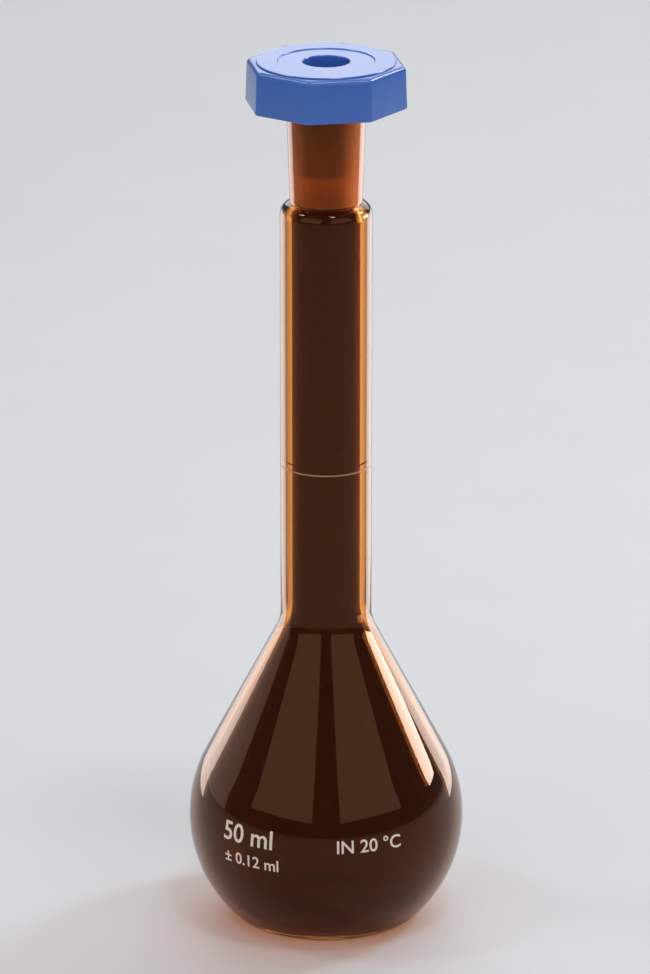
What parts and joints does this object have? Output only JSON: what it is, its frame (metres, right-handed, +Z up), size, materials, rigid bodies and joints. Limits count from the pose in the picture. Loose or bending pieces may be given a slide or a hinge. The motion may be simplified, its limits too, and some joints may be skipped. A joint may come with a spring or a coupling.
{
  "type": "volumetric flask",
  "caption": "Amber glass volumetric flask: pear-shaped bulb on a flat base, long neck with a ring-shaped filling mark, tapered socket and a lift-out hollow octagonal plastic stopper.",
  "frame": {"origin": "centre of the base, on the surface that the flask stands on", "axes": "+Z up along the flask's axis, through the bulb, neck, socket and stopper; -Y towards the picture's viewer"},
  "size_m": [0.0464, 0.0464, 0.1489],
  "materials": {
    "amber_glass": "clear amber borosilicate, fire polished",
    "enamel": "fired stain and enamel, matt",
    "stopper_plastic": "moulded polyethylene, satin"
  },
  "bodies": {
    "flask": {"glass_flask": "amber_glass", "graduation_ring": "enamel"},
    "stopper": {"stopper": "stopper_plastic"}
  },
  "joints": [
    {"name": "stopper_lift", "type": "slide", "parent": "flask", "child": "stopper", "axis": [0, 0, 1], "range_m": [0, 0.04]}
  ]
}
